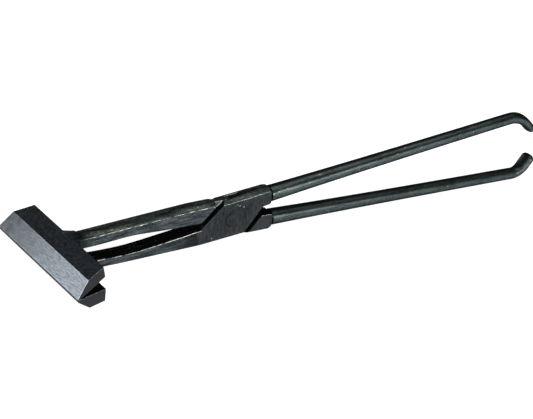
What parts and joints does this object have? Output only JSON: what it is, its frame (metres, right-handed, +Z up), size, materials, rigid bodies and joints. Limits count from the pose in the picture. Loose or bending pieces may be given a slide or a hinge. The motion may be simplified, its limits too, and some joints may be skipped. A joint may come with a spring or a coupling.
{
  "type": "seaming pliers",
  "caption": "Hand seaming pliers with wide bevelled jaws, a box joint on one flush rivet and long round handles with bent, flattened ends.",
  "frame": {"origin": "on the plane that the pliers stand on, below the middle of the bounding box", "axes": "+X from the jaws to the handles, +Z up in the plane in which the pliers open, Y along the rivet"},
  "size_m": [0.4188, 0.1, 0.0556],
  "materials": {
    "blackened_steel": "forged steel, ground and blackened, with a dull sheen",
    "rivet_steel": "rivet ground flush and blackened with the joint",
    "handle_steel": "round steel with a dark olive forging scale"
  },
  "bodies": {
    "box_body": {"box_half": "blackened_steel", "rivet": "rivet_steel", "upper_handle": "handle_steel"},
    "tongue_body": {"tongue_half": "blackened_steel", "lower_handle": "handle_steel"}
  },
  "joints": [
    {"name": "pivot", "type": "hinge", "parent": "box_body", "child": "tongue_body", "pos_m": [-0.06599, 0, 0.01638], "axis": [0, 1, 0], "range_deg": [0, 40]}
  ]
}
